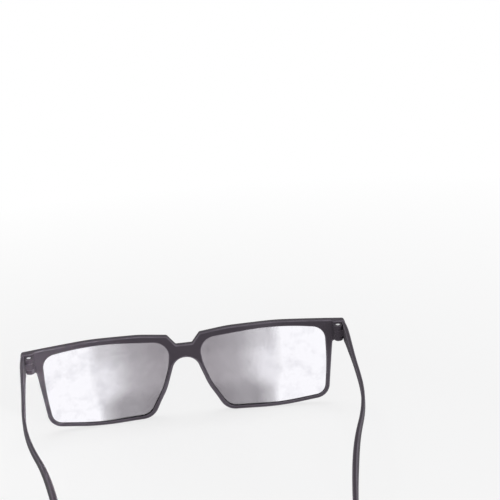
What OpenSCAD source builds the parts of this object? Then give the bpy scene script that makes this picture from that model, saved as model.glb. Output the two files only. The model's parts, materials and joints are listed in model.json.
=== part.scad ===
// Rear-view spy sunglasses: a moulded front with two smoked lenses, each with
// a mirrored outer half on the side that faces the wearer, and two folding
// temples on screw hinges. The glasses stand open on the rims and the tips.
// +X is the wearer's right, +Y is the way the wearer looks, +Z is up.

/* [Front] */
// Width across the hinges
front_w = 142.4; // [136:0.2:152]
// Thickness of the moulded front
front_t = 3.4; // [3:0.1:4.5]
// Radius of the face wrap, seen from above
wrap_r = 350; // [280:5:600]
// Height of the side pieces that carry the hinges
endpiece_h = 8.4; // [7.8:0.1:10]
// Radius of the corner where the front turns back
endpiece_round = 2.2; // [1:0.1:2.8]
// How far the side pieces reach back behind the front
return_l = 1.8; // [1:0.1:4]

/* [Rims] */
// Width of the rim beside the nose
rim_nasal = 1.9; // [1.6:0.1:3]
// Height of the rim under the lens
rim_bottom = 1.5; // [1.4:0.1:3]
// Width of the rim beside the temple
rim_side = 1.75; // [1.4:0.05:3]
// Height of the brow over the middle of the lens
rim_top = 1.8; // [1.5:0.1:3]
// How far the brow falls towards the nose
brow_fall_nose = 2.5; // [1.5:0.1:3.2]
// How far the brow falls towards the hinge
brow_fall_side = 1; // [0.4:0.1:2]

/* [Bridge] */
// Gap between the two lens openings at its narrowest
bridge_gap = 12.8; // [11:0.2:18]
// Height of the bridge over the nose
bridge_h = 6.4; // [4:0.1:7]
// How far the top of the bridge lies under the brow's shoulders
notch_d = 4.5; // [2.5:0.1:5.5]
// Width of the flat on top of the bridge
notch_w = 7.2; // [5:0.1:8]

/* [Lens figure] */
// Width of a lens opening, before its corners are rounded
lens_w = 56; // [50:0.5:58]
// Height of the lens opening at the nose
lens_h_nose = 33; // [28:0.5:36]
// Height of the lens opening at the temple
lens_h_side = 31.2; // [27:0.1:34]
// How much higher the opening stands at the temple than at the nose
lens_rise = 3; // [1:0.1:5]
// How far the opening's lower nose corner is drawn in
nose_lean = 11.5; // [8:0.5:13]
// How far the opening's lower temple corner is drawn in
side_lean = 1.8; // [0:0.1:4]
// How far the nose side of the opening bows out
nose_bow = 2.7; // [1:0.1:4]
// How far the top of the opening bows up
top_bow = 2.75; // [1.5:0.05:4]
// How far the bottom of the opening bows down
bottom_bow = 2; // [1:0.1:2.6]
// How far the temple side of the opening bows out
side_bow = 0.9; // [0.3:0.1:2]
// Corner radius of the opening
corner_r = 6; // [4:0.5:8]

/* [Lenses] */
// Thickness of a lens
lens_t = 1.2; // [0.8:0.1:1.6]
// Depth of the groove that holds the lens
groove_d = 0.7; // [0.5:0.05:0.9]
// Room around the lens's edge in its groove
lens_gap = 0.08; // [0.03:0.01:0.15]
// Width of the mirrored zone at half the lens's height
film_w = 32; // [20:0.5:40]
// Radius of the mirrored zone's inner edge
film_edge_r = 23; // [20:1:90]
// Thickness given to the mirror film
film_t = 0.1; // [0.05:0.01:0.2]
// Distance of the film from the rim
film_margin = 0.1; // [0.05:0.05:1]

/* [Temples] */
// Length of a temple behind its hinge, along its own curve
temple_l = 138; // [125:1:150]
// Thickness of a temple at the hinge
temple_t = 1.9; // [1.8:0.1:3]
// Thickness of a temple at its slim middle
temple_mid_t = 1.5; // [1.4:0.1:2.6]
// Thickness of the paddle at the tip
tip_t = 2; // [1.6:0.1:3]
// Height of a temple at the hinge
temple_h = 7.6; // [7.2:0.1:9]
// Height of a temple at its slim middle
temple_mid_h = 3.4; // [3:0.1:6.5]
// Height of the paddle at the tip
tip_h = 6; // [4.5:0.1:8]
// Length of the tapered stretch behind the hinge
taper_l = 38; // [30:1:60]
// Distance from the hinge to the start of the ear bend
ear_start = 88; // [78:1:98]
// Length of the ear bend
ear_run = 26; // [16:1:34]
// Angle of the ear bend
ear_angle = 42; // [32:1:50]
// Angle at which the temples leave the hinges, turned in
toe_in = 2.3; // [0:0.1:3]
// Further angle by which the temples turn in towards the ears
wrap_in = 15; // [5:0.5:20]
// Angle by which the tips turn out again
tip_out = 9; // [0:0.5:12]

/* [Hinges] */
// Distance of the hinge axis from the outer face of the temple
hinge_inset = 3.7; // [3.6:0.1:4.2]
// Radius of the hinge knuckles
knuckle_r = 1.8; // [1.7:0.05:1.9]
// Height of the temple's knuckle
knuckle_h = 2.6; // [2.4:0.1:3.4]
// Height of each of the front's two lugs
lug_h = 2; // [1.8:0.1:2.3]
// Gap above and below the temple's knuckle
axial_gap = 0.1; // [0.05:0.01:0.15]
// Gap between the end of a temple and the front, when open
butt_gap = 0.3; // [0.2:0.05:0.5]
// Clearance between the lugs and the temple's relief
relief_gap = 0.3; // [0.25:0.05:0.4]
// Radius of the hinge screw's shank
screw_r = 0.7; // [0.5:0.05:0.8]
// Radius of the hinge screw's head
screw_head_r = 1.3; // [1.1:0.05:1.4]
// Height of the hinge screw's head
screw_head_h = 0.8; // [0.6:0.05:1]
// Radius of the domed tail that holds the hinge screw under the lower lug
screw_tail_r = 1.2; // [0.9:0.05:1.3]
// Height of that tail
screw_tail_h = 0.8; // [0.3:0.05:0.9]
// Clearance of the screw in its bores
screw_gap = 0.05; // [0.02:0.01:0.08]

/* [Hidden] */

FRAME_COLOUR = [0.13, 0.12, 0.13];
LENS_COLOUR = [0.45, 0.43, 0.45];
FILM_COLOUR = [0.90, 0.90, 0.93];
SCREW_COLOUR = [0.75, 0.75, 0.77];

// Facets of the wide wrap cylinders, and of the small round parts
WRAP_FN = 720;
SMALL_FN = 48;
// Longest turn between two points of a rounded corner, in degrees
ARC_STEP = 11;
// Reach of the prisms and cutters past what they cut
FAR = 60;
EPS = 0.01;

// Smallest radii of the front's outline
CRISP_R = 0.8;
SHOULDER_R = 1.2;
ARMPIT_R = 1.6;
// Wide radii that turn straight sides into gentle arcs
NOSE_ARC_R = 26;
TOP_ARC_R = 130;
BOTTOM_ARC_R = 100;
SIDE_ARC_R = 120;
BROW_ARC_R = 60;
// Differences of the opening's corner radii from corner_r
NOSE_TOP_MORE_R = 1;
SIDE_LOW_MORE_R = -0.5;
// Shares of the opening's sides at which they bow most
NOSE_BOW_HIGH = 0.33;
NOSE_BOW_LOW = 0.62;
BOTTOM_BOW_AT = 0.52;
SIDE_BOW_AT = 0.48;
TOP_BOW_AT = 0.38;
// Bow of the brow between its peak and the shoulder beside the bridge
BROW_BOW = 0.7;
BROW_BOW_AT = 0.63;
// Distance of the shoulder from the opening's nose side
SHOULDER_SET = 0.8;
// Share of the bridge's arch that is one round arc
ARCH_SHARE = 0.97;
// Where the side piece runs into the rim, past the rim's corner and under the side piece
ARMPIT_OUT = 1.3;
ARMPIT_DROP = 0.3;
// Free length of a hinge lug in front of its round end
LUG_NECK = 1;
// Room of the temple's relief behind the lugs
RELIEF_BACK = 0.7;
// Depth to which the temple's knuckle is rooted in the temple
ROOT_DEPTH = 0.6;
// Height by which the hinge screw's head stands proud, and the rounding of its edge
HEAD_PROUD = 0.3;
HEAD_EDGE_R = 0.25;
// Steps in each rounding of the hinge screw
SCREW_STEPS = 5;
// Where the temples turn in, ahead of the ear bend and past its start
WRAP_AHEAD = 46;
WRAP_PAST = 14;
// Tilts between which the temples are tried, in degrees, and how often they are halved
TILT_LOW = -8;
TILT_HIGH = 20;
TILT_HALVINGS = 24;

function unit(v) = v / norm(v);
function flat(p) = [p[0], p[1]];
function wrapped(a) = a > 180 ? a - 360 : a < -180 ? a + 360 : a;
// Outward normal of the edge from p to q, for corners listed anticlockwise
function normal(p, q) = let (d = unit(flat(q) - flat(p))) [d[1], -d[0]];
// Point at a share t of the chord from p to q, bowed outwards, with a radius
function bowed(p, q, t, bow, r) = let (m = flat(p) * (1 - t) + flat(q) * t + normal(p, q) * bow) [m[0], m[1], r];
// Points of the arc that rounds corner p between its neighbours a and b
function corner_arc(a, p, b) =
    let (
        u = unit(flat(a) - flat(p)),
        v = unit(flat(b) - flat(p)),
        half = acos(u * v) / 2,
        c = flat(p) + unit(u + v) * p[2] / sin(half),
        s = flat(p) + u * p[2] / tan(half) - c,
        e = flat(p) + v * p[2] / tan(half) - c,
        a0 = atan2(s[1], s[0]),
        turn = wrapped(atan2(e[1], e[0]) - a0),
        n = max(2, ceil(abs(turn) / ARC_STEP))
    )
    [for (k = [0:n]) c + p[2] * [cos(a0 + turn * k / n), sin(a0 + turn * k / n)]];
function rounded(c) =
    let (n = len(c)) [for (i = [0:n - 1]) each corner_arc(c[(i + n - 1) % n], c[i], c[(i + 1) % n])];
// Corner p moved out by w1 from the edge before it and by w2 from the edge after it
function moved(a, p, b, w1, w2) =
    let (n1 = normal(a, p), n2 = normal(p, b), k = n1 * n2,
        q = w1 == w2 ? flat(p) + (n1 + n2) * w1 / (1 + k)
            : flat(p) + (n1 * (w1 - k * w2) + n2 * (w2 - k * w1)) / (1 - k * k))
    [q[0], q[1], p[2] + min(w1, w2)];
// Anticlockwise corners c grown by the widths w, where w[i] is for the edge after corner i
function grown(c, w) =
    let (n = len(c)) [for (i = [0:n - 1]) moved(c[(i + n - 1) % n], c[i], c[(i + 1) % n], w[(i + n - 1) % n], w[i])];
function even(c, g) = grown(c, [for (p = c) g]);
function mirrored(c) = [for (i = [len(c) - 1:-1:0]) [-c[i][0], c[i][1], c[i][2]]];

// Corners of the right lens opening, anticlockwise as seen from behind
nose_x = bridge_gap / 2;
side_x = nose_x + lens_w;
LENS_Z = 1.9;
lens_nose_low = [nose_x + nose_lean, LENS_Z, corner_r];
lens_nose_top = [nose_x, LENS_Z + lens_h_nose, corner_r + NOSE_TOP_MORE_R];
lens_side_low = [side_x - side_lean, LENS_Z + lens_rise, corner_r + SIDE_LOW_MORE_R];
lens_side_top = [side_x, LENS_Z + lens_rise + lens_h_side, corner_r];
lens_corners = [
    lens_nose_top,
    bowed(lens_nose_top, lens_nose_low, NOSE_BOW_HIGH, nose_bow, NOSE_ARC_R),
    bowed(lens_nose_top, lens_nose_low, NOSE_BOW_LOW, nose_bow, NOSE_ARC_R),
    lens_nose_low,
    bowed(lens_nose_low, lens_side_low, BOTTOM_BOW_AT, bottom_bow, BOTTOM_ARC_R),
    lens_side_low,
    bowed(lens_side_low, lens_side_top, SIDE_BOW_AT, side_bow, SIDE_ARC_R),
    lens_side_top,
    bowed(lens_side_top, lens_nose_top, TOP_BOW_AT, top_bow, TOP_ARC_R)
];
rim_widths = [
    rim_nasal, rim_nasal, rim_nasal,
    rim_bottom, rim_bottom,
    rim_side, rim_side,
    rim_top, rim_top
];
rim = grown(lens_corners, rim_widths);

// Corners of the front's outline, right half, from the bridge's top round to its arch
half_w = front_w / 2;
brow_peak = rim[8];
shoulder = [nose_x + SHOULDER_SET, brow_peak[1] - brow_fall_nose, SHOULDER_R];
brow_end = [half_w, brow_peak[1] - brow_fall_side, CRISP_R];
bridge_top = shoulder[1] - notch_d;
arch_z = bridge_top - bridge_h;
arch_x = rim[2][0] + (rim[1][0] - rim[2][0]) * (arch_z - rim[2][1]) / (rim[1][1] - rim[2][1]);
arch_turn = (180 - atan2(rim[1][1] - rim[2][1], rim[2][0] - rim[1][0])) / 2;
arch_r = ARCH_SHARE * arch_x * tan(arch_turn);
armpit = [rim[7][0] + ARMPIT_OUT, brow_end[1] - endpiece_h - ARMPIT_DROP, ARMPIT_R];
front_half = [
    [notch_w / 2, bridge_top, CRISP_R],
    shoulder,
    bowed([brow_peak[0], brow_peak[1]], shoulder, BROW_BOW_AT, BROW_BOW, BROW_ARC_R),
    [brow_peak[0], brow_peak[1], TOP_ARC_R],
    brow_end,
    [half_w, brow_end[1] - endpiece_h, CRISP_R],
    armpit,
    [rim[6][0], rim[6][1], BROW_ARC_R],
    rim[5],
    rim[4],
    rim[3],
    rim[2],
    [arch_x, arch_z, arch_r]
];
front_outline = rounded(concat(front_half, mirrored(front_half)));
floor_z = min([for (p = front_outline) p[1]]);

// Face wrap: y of the moulding's middle surface and of its faces
function wrap_y(x, off) = sqrt(pow(wrap_r + off, 2) - x * x) - wrap_r;
hinge_x = half_w - hinge_inset;
block_y = wrap_y(hinge_x, -front_t / 2) - return_l;
hinge_y = block_y - LUG_NECK - knuckle_r;
hinge_z = brow_end[1] - endpiece_h / 2;
corner_y = wrap_y(half_w, front_t / 2);
corner_slope = asin(half_w / (wrap_r + front_t / 2));
bore_r = screw_r + screw_gap;
stack_h = knuckle_h + 2 * (axial_gap + lug_h);
head_sunk = screw_head_h - HEAD_PROUD;

// Temple: stations along its curve, with how it heads, dips and tapers there
STATIONS = 58;
butt_l = block_y - butt_gap - hinge_y;
station_l = (temple_l + butt_l) / STATIONS;
SEAT_L = 12;
TIP_L = 4;
TIP_SHARE = 0.35;
CORNER_SHARE = 0.32;
QUARTER_POINTS = 4;
wrap_start = ear_start - WRAP_AHEAD;
wrap_end = ear_start + WRAP_PAST;
function smooth(t) = let (u = min(1, max(0, t))) u * u * (3 - 2 * u);
function station(i) = i * station_l - butt_l;
function heading(s) =
    toe_in * smooth(s / SEAT_L)
    + wrap_in * smooth((s - wrap_start) / (wrap_end - wrap_start))
    - tip_out * smooth((s - wrap_end) / (temple_l - wrap_end));
function dip(s, tilt) = tilt * smooth(s / SEAT_L) + ear_angle * smooth((s - ear_start) / ear_run);
function along(s, tilt) =
    [-sin(heading(s)) * cos(dip(s, tilt)), -cos(heading(s)) * cos(dip(s, tilt)), -sin(dip(s, tilt))];
temple_x = half_w - temple_t / 2;
function path(tilt) = [
    for (
        i = 0, p = [temple_x, block_y - butt_gap, hinge_z];
        i <= STATIONS;
        p = p + station_l * along(station(i + 0.5), tilt), i = i + 1
    ) p
];
// Closes the tip in a quarter round
function tip_close(s) =
    let (u = max(0, (s - temple_l + TIP_L) / TIP_L)) TIP_SHARE + (1 - TIP_SHARE) * sqrt(max(0, 1 - u * u));
function height(s) =
    (temple_h + (temple_mid_h - temple_h) * smooth(s / taper_l)
    + (tip_h - temple_mid_h) * smooth((s - ear_start) / ear_run)) * tip_close(s);
function thickness(s) =
    (temple_t + (temple_mid_t - temple_t) * smooth(s / taper_l)
    + (tip_t - temple_mid_t) * smooth((s - ear_start) / ear_run)) * tip_close(s);
function lowest(tilt) =
    let (p = path(tilt))
    min([for (i = [0:STATIONS]) p[i][2] - height(station(i)) / 2 * cos(dip(station(i), tilt))]) - floor_z;
// Tilt at which the tips come down to the floor that the rims stand on
function seated(lo, hi, n) =
    let (m = (lo + hi) / 2) n == 0 ? m : lowest(m) > 0 ? seated(m, hi, n - 1) : seated(lo, m, n - 1);
temple_tilt = seated(TILT_LOW, TILT_HIGH, TILT_HALVINGS);
temple_path = path(temple_tilt);

// Cross-section of the temple at station i: a rectangle with rounded corners
function temple_ring(i) =
    let (
        s = station(i),
        h = height(s) / 2,
        t = thickness(s) / 2,
        r = CORNER_SHARE * 2 * t,
        side = [cos(heading(s)), -sin(heading(s)), 0],
        up = cross(along(s, temple_tilt), side)
    )
    [
        for (q = [0:3], k = [0:QUARTER_POINTS - 1])
            let (
                a = 90 * (q + k / (QUARTER_POINTS - 1)),
                cx = (q == 0 || q == 3 ? 1 : -1) * (t - r),
                cz = (q < 2 ? 1 : -1) * (h - r)
            )
            temple_path[i] + side * (cx + r * cos(a)) + up * (cz + r * sin(a))
    ];

// Placement: the middle of the plan and the floor become the origin
tail_y = min([for (i = [0:STATIONS]) min([for (p = temple_ring(i)) p[1]])]);
shift_y = -(front_t / 2 + tail_y) / 2;

module placed() {
    translate([0, shift_y, -floor_z]) children();
}

module left_side() {
    mirror([1, 0, 0]) children();
}

module both_sides() {
    children();
    left_side() children();
}

// Prism whose outline stands in the XZ plane
module prism(points) {
    translate([0, FAR, 0]) rotate([90, 0, 0]) linear_extrude(height = 2 * FAR) polygon(points);
}

// Sheet of the given thickness that follows the face wrap, its middle moved by off
module wrap_sheet(t, off = 0) {
    translate([0, -wrap_r, -FAR]) difference() {
        cylinder(r = wrap_r + off + t / 2, h = 3 * FAR, $fn = WRAP_FN);
        translate([0, 0, -EPS]) cylinder(r = wrap_r + off - t / 2, h = 3 * FAR + 2 * EPS, $fn = WRAP_FN);
    }
}

// Plan of the front, which rounds the corners where it turns back
module plan_limit() {
    run = half_w / 3;
    side = [
        [half_w, block_y - knuckle_r - FAR / 2, CRISP_R],
        [half_w, corner_y, endpiece_round],
        [half_w - run, corner_y + run * tan(corner_slope), CRISP_R]
    ];
    translate([0, 0, -FAR]) linear_extrude(height = 3 * FAR) polygon(rounded(concat(
        side,
        [[0, FAR / 2, CRISP_R]],
        mirrored(side)
    )));
}

// Side piece behind the front's sheet, with the same outline as the front's end
module endpiece_return() {
    inner_x = hinge_x - knuckle_r;
    intersection() {
        prism(front_outline);
        translate([inner_x, block_y, -FAR]) cube([half_w - inner_x, wrap_y(inner_x, 0) - block_y, 3 * FAR]);
    }
}

// Hinge lug of the front, its underside at height z
module lug(z) {
    translate([hinge_x, hinge_y, z]) {
        cylinder(r = knuckle_r, h = lug_h, $fn = SMALL_FN);
        translate([-knuckle_r, 0, 0]) cube([2 * knuckle_r, block_y - hinge_y + EPS, lug_h]);
    }
}

module front_frame() {
    lug_low = hinge_z - stack_h / 2;
    lug_top = hinge_z + stack_h / 2;
    color(FRAME_COLOUR) placed() intersection() {
        difference() {
            union() {
                intersection() {
                    prism(front_outline);
                    wrap_sheet(front_t);
                }
                both_sides() {
                    endpiece_return();
                    lug(lug_low);
                    lug(lug_top - lug_h);
                }
            }
            both_sides() {
                prism(rounded(lens_corners));
                intersection() {
                    prism(rounded(even(lens_corners, groove_d)));
                    wrap_sheet(lens_t + 2 * lens_gap);
                }
                translate([hinge_x, hinge_y, lug_low - EPS])
                    cylinder(r = bore_r, h = stack_h + 2 * EPS, $fn = SMALL_FN);
                translate([hinge_x, hinge_y, lug_top - head_sunk])
                    cylinder(r = screw_head_r + screw_gap, h = head_sunk + EPS, $fn = SMALL_FN);
            }
        }
        plan_limit();
    }
}

module lens() {
    color(LENS_COLOUR) placed() intersection() {
        prism(rounded(even(lens_corners, groove_d - lens_gap)));
        wrap_sheet(lens_t);
    }
}

// Mirror film on the wearer's side of the lens's outer half
module mirror_film() {
    edge_x = side_x - film_w + film_edge_r;
    edge_z = (lens_nose_low[1] + lens_nose_top[1]) / 2;
    color(FILM_COLOUR) placed() intersection() {
        prism(rounded(even(lens_corners, -film_margin)));
        wrap_sheet(film_t, -(lens_t + film_t) / 2);
        translate([edge_x, 0, edge_z]) {
            rotate([90, 0, 0]) cylinder(r = film_edge_r, h = FAR, center = true, $fn = 4 * SMALL_FN);
            translate([0, -FAR / 2, -film_edge_r]) cube([FAR, FAR, 2 * film_edge_r]);
        }
    }
}

// The temple's arm as a loft through its rings
module temple_arm() {
    m = 4 * QUARTER_POINTS;
    rings = [for (i = [0:STATIONS]) each temple_ring(i)];
    sides = [
        for (i = [0:STATIONS - 1], j = [0:m - 1])
            let (a = i * m + j, b = i * m + (j + 1) % m)
            each [[a, b + m, b], [a, a + m, b + m]]
    ];
    front_end = [for (j = [0:m - 1]) j];
    tip_end = [for (j = [m - 1:-1:0]) STATIONS * m + j];
    polyhedron(points = rings, faces = concat(sides, [front_end, tip_end]));
}

module temple() {
    relief_x = hinge_x + knuckle_r + relief_gap;
    color(FRAME_COLOUR) placed() difference() {
        union() {
            difference() {
                temple_arm();
                translate([hinge_x - FAR / 2, hinge_y - knuckle_r - RELIEF_BACK, hinge_z - temple_h])
                    cube([relief_x - hinge_x + FAR / 2, RELIEF_BACK + knuckle_r + butt_l + EPS, 2 * temple_h]);
            }
            translate([hinge_x, hinge_y, hinge_z - knuckle_h / 2]) {
                cylinder(r = knuckle_r, h = knuckle_h, $fn = SMALL_FN);
                translate([0, -knuckle_r, 0]) cube([relief_x - hinge_x + ROOT_DEPTH, 2 * knuckle_r, knuckle_h]);
            }
        }
        translate([hinge_x, hinge_y, hinge_z - stack_h])
            cylinder(r = bore_r, h = 2 * stack_h, $fn = SMALL_FN);
    }
}

// Half section of the hinge screw: domed tail, shank, and a slotted head with a rounded edge
module screw_section() {
    head_top = stack_h + HEAD_PROUD;
    dome_r = (pow(screw_tail_r, 2) + pow(screw_tail_h, 2)) / (2 * screw_tail_h);
    dome_angle = asin(screw_tail_r / dome_r);
    polygon(concat(
        [
            for (k = [0:SCREW_STEPS])
                let (a = dome_angle * k / SCREW_STEPS)
                [dome_r * sin(a), dome_r - screw_tail_h - dome_r * cos(a)]
        ],
        [[screw_r, 0], [screw_r, stack_h - head_sunk], [screw_head_r, stack_h - head_sunk]],
        [
            for (k = [0:SCREW_STEPS])
                let (a = 90 * k / SCREW_STEPS)
                [screw_head_r - HEAD_EDGE_R * (1 - cos(a)), head_top - HEAD_EDGE_R * (1 - sin(a))]
        ],
        [[0, head_top]]
    ));
}

module hinge_screw() {
    slot_w = screw_head_r / 3;
    slot_d = screw_head_h / 2;
    color(SCREW_COLOUR) placed() translate([hinge_x, hinge_y, hinge_z - stack_h / 2]) difference() {
        rotate_extrude($fn = SMALL_FN) screw_section();
        translate([-screw_head_r, -slot_w / 2, stack_h + HEAD_PROUD - slot_d])
            cube([2 * screw_head_r, slot_w, slot_d + EPS]);
    }
}

front_frame();
lens();  // right_lens
left_side() lens();  // left_lens
mirror_film();  // right_mirror_film
left_side() mirror_film();  // left_mirror_film
temple();  // right_temple
left_side() temple();  // left_temple
hinge_screw();  // right_hinge_screw
left_side() hinge_screw();  // left_hinge_screw
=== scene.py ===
import json
import math

import bmesh
import bpy
import numpy as np
from mathutils import Matrix, Vector


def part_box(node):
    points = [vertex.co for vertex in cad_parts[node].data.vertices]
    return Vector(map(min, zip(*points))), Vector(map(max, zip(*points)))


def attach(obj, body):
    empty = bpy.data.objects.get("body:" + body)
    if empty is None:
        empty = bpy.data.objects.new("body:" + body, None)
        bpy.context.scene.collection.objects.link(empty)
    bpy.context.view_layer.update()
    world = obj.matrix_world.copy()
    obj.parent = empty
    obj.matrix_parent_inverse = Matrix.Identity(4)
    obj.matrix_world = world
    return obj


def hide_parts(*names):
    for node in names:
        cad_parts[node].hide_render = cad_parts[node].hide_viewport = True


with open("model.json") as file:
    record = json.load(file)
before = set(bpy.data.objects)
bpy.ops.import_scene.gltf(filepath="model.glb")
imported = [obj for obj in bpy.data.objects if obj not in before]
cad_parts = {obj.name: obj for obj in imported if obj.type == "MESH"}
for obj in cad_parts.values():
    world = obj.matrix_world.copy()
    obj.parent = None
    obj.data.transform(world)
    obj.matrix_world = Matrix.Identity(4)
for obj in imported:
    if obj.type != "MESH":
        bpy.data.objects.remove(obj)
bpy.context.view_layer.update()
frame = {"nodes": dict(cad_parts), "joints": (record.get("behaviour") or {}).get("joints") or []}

# Sizes are in millimetres, and MM turns them into Blender's metres
MM = 0.001


def box_mm(node):
    low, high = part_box(node)
    return np.array(low) / MM, np.array(high) / MM


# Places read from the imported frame
front_high = box_mm("front_frame")[1]
HALF_W = front_high[0]
HINGE_X, HINGE_Y, HINGE_Z = np.array(
    next(j for j in frame["joints"] if j["name"] == "right_hinge")["pos_m"]
) / MM

# The moulded front
FRONT_T = 3.4
WRAP_R = 350
MID_Y = front_high[1] - FRONT_T / 2
ENDPIECE_H = 8.4
END_ROUND = 2.2
RIM_NASAL = 1.9
RIM_BOTTOM = 1.5
RIM_SIDE = 1.75
RIM_TOP = 1.8
BROW_FALL_NOSE = 2.5
BROW_FALL_SIDE = 1
BRIDGE_H = 6.4
NOTCH_D = 4.5
NOTCH_W = 7.2
CRISP_R = 0.8
SHOULDER_R = 1.2
ARMPIT_R = 1.6
ARCH_R = 5.94
# How far the shoulder stands out from the nose side of the opening, and the armpit out from the rim and down
SHOULDER_OUT = 0.8
ARMPIT_OUT = 1.3
ARMPIT_DROP = 0.3
# Radii of the soft corners halfway up the rim's outer side and at the brow's peak
SIDE_SOFT_R = 60
PEAK_SOFT_R = 130

# The lens openings
NOSE_X = 6.4
LENS_W = 56
LENS_LOW = 1.9
LENS_RISE = 3
LENS_H_NOSE = 33
LENS_H_SIDE = 31.2
NOSE_LEAN = 11.5
SIDE_LEAN = 1.8
NOSE_TOP_R = 7
NOSE_LOW_R = 6
SIDE_LOW_R = 5.5
SIDE_TOP_R = 6
LENS_T = 1.2
LENS_GAP = 0.08
GROOVE_D = 0.7

# Bows of the opening's edges and of the brow: at which share of the edge, how far out, and with what radius
NOSE_BOW_HIGH = (0.33, 2.7, 26)
NOSE_BOW_LOW = (0.62, 2.7, 26)
LOW_BOW = (0.52, 2, 100)
SIDE_BOW = (0.48, 0.9, 120)
TOP_BOW = (0.38, 2.75, 130)
BROW_BOW = (0.63, 0.7, 60)

# Rounded edges of the front: round its face, behind, towards the lens, and the wide splay on the nose, which
# comes in above its low height and ends at its high one. HOLD is the strip beside each that keeps the faces
# flat
FACE_EDGE_R = 0.5
BACK_EDGE_R = 0.7
LENS_EDGE_R = 0.35
SPLAY_W = 1.25
SPLAY_D = 2
SPLAY_LOW_Z = 4
SPLAY_LOW_RUN = 4
SPLAY_HIGH_Z = 29
SPLAY_HIGH_RUN = 1.5
HOLD = 0.06

# How far the thin rims and the splay are painted pale, partly for wear from handling and partly as a painted
# highlight, and how pale that can turn, from 0 to 1
THIN_WEAR_AND_SHEEN = 0.35
NOSE_WEAR_AND_SHEEN = 0.6
WEAR_AND_SHEEN_DEPTH = 0.75
# Width at which a rim begins to count as thin, and how much narrower it is where it does so fully
THIN_W = 1.8
THIN_RUN = 1.2

# The side pieces step back behind the rims between these two places
STEP_IN = 64.9
STEP_OUT = 66.5
# Least gap between the back's rows on the step, and how far before it they spread out evenly again
ROW_GAP = 0.03
STEP_RUN = 1.4
# Where the back of the side pieces lies, in front of the hinges' axes
BLOCK_Y = HINGE_Y + 2.8

# Hinges
KNUCKLE_R = 1.8
KNUCKLE_H = 2.6
LUG_H = 2
AXIAL_GAP = 0.1
BORE_R = 0.75
HEAD_HOLE_R = 1.35
HEAD_HOLE_D = 0.5
PLATE_EDGE_R = 0.15
# Painted shade round the edge of the screw's head, where it sits in its recess, which also dulls the
# highlight there: the distances from the hinge's axis at which it begins and is full, and how ragged its edge
# is
HEAD_SHADE_FROM_R = 0.8
HEAD_SHADE_FULL_R = 1
HEAD_SHADE_RAGGED = 0.5
# How far the lugs and the knuckle are sunk into what carries them
LUG_ROOT = 0.3
KNUCKLE_ROOT = 0.5

# Temples, with their heights and thicknesses at the hinge, at the slim middle and at the tip.
# EAR_ANGLE, TOE_IN, WRAP_IN and TIP_OUT are in degrees
TEMPLE_L = 138
HEIGHTS = (7.6, 3.4, 6)
THICKNESSES = (1.9, 1.5, 2)
TAPER_L = 38
EAR_START = 88
EAR_RUN = 26
EAR_ANGLE = 42
TOE_IN = 2.3
WRAP_IN = 15
TIP_OUT = 9
SEAT_L = 12
TURN_START = EAR_START - 46
TURN_END = EAR_START + 14
TIP_L = 4
CORNER_SHARE = 0.32
BUTT_L = 2.5
BUTT_EDGE_R = 0.25
RELIEF_D = 0.3
RELIEF_L = 2.5
RELIEF_RUN = 0.4
# Range in which the temples' tilt is looked for, in degrees, and how often it is halved
TILT_RANGE = (-8.0, 20.0)
TILT_HALVINGS = 24

# Mirror coat: a haze from the nose side, a veil that deepens over it, and the line where it turns dense.
# The veil shifts outwards below VEIL_LOW_Z and thins above VEIL_TOP_Z, and the dense coat's edge softens
# above DENSE_SOFT_Z
HAZE_X = 9
HAZE_L = 18
HAZE_DEPTH = 0.17
VEIL_X = 22
VEIL_L = 15
VEIL_LOW_SHIFT = 7.5
VEIL_LOW_Z = 17
VEIL_LOW_RUN = 10
VEIL_DEPTH = 0.87
VEIL_TOP_DEPTH = 0.46
VEIL_TOP_Z = 24
VEIL_TOP_RUN = 9
DENSE_X = 37.3
DENSE_L = 3
DENSE_SOFTER = 2.5
DENSE_SOFT_Z = 8
DENSE_SOFT_RUN = 10
# The coat's thickness, the air between it and the lens, and how far inside the rim it stays
COAT_T = 0.1
COAT_AIR = 0.02
COAT_INSET = 0.1

# Distances between points: along the front's outline, beyond FINE_FROM on it, along the lens opening, and
# where the outline's lowest point is looked for. An arc has at least ARC_STEPS steps
OUTLINE_GAP = 0.9
FINE_FROM = 55
FINE_GAP = 0.3
OPENING_GAP = 0.15
LOWEST_GAP = 0.5
ARC_STEPS = 6

# Angles of the points round a rounded edge
QUARTER = np.linspace(0, np.pi / 2, 6)

# Distances from the outline that rows of points keep on the front of the side pieces, beyond END_X,
# where the face is wider than END_SPAN
END_ROWS = np.array([3.2, 2.6, 2.1, 1.6, 1.2, 0.8, 0.4])
END_X = 66
END_SPAN = 4
# Rows of points on each face, points on the cut through the bridge, and the least width that is divided by
SPAN_ROWS = len(END_ROWS)
CUT_POINTS = 6
LEAST_SPAN = 0.1

# The place on the lens opening that each corner of the outline faces in the mesh. The opening's corners are
# counted from 0, and a fraction is a share of the edge to the next
FACED = np.array([0.75, 1, 2, 3, 4, 5, 6, 6.64, 6.85, 7, 8, 8.62, 0, 0.42, 0.5])

# The opening's four main corners, and the points up and across the lens and the coat
MAIN_CORNERS = (0, 3, 5, 7)
LENS_GRID = (49, 73)
COAT_GRID = (61, 141)

# Points round a hinge plate's end, along each side and across its butt
PLATE_ROUND = 33
PLATE_SIDE = 9
PLATE_BUTT = 13

# Numbers of the temple's sections: as far as FINE_L behind the hinge, along the rest, and at the tip.
# FLAT_SHARES places the points on each flat side of a section
FINE_L = 4
FINE_SECTIONS = 24
LONG_SECTIONS = 118
TIP_SECTIONS = 22
FLAT_SHARES = (0.05, 0.5, 0.95)

# Points closer than this are merged, and an edge that turns by more degrees than this is shaded sharp
MERGE_GAP = 0.001
SHARP_ANGLE = 50


def smooth(t):
    """Smooth step: 3 t squared minus 2 t cubed, with t kept between 0 and 1."""
    u = np.clip(t, 0, 1)
    return u * u * (3 - 2 * u)


def unit(v):
    return v / np.linalg.norm(v, axis=-1, keepdims=True)


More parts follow.
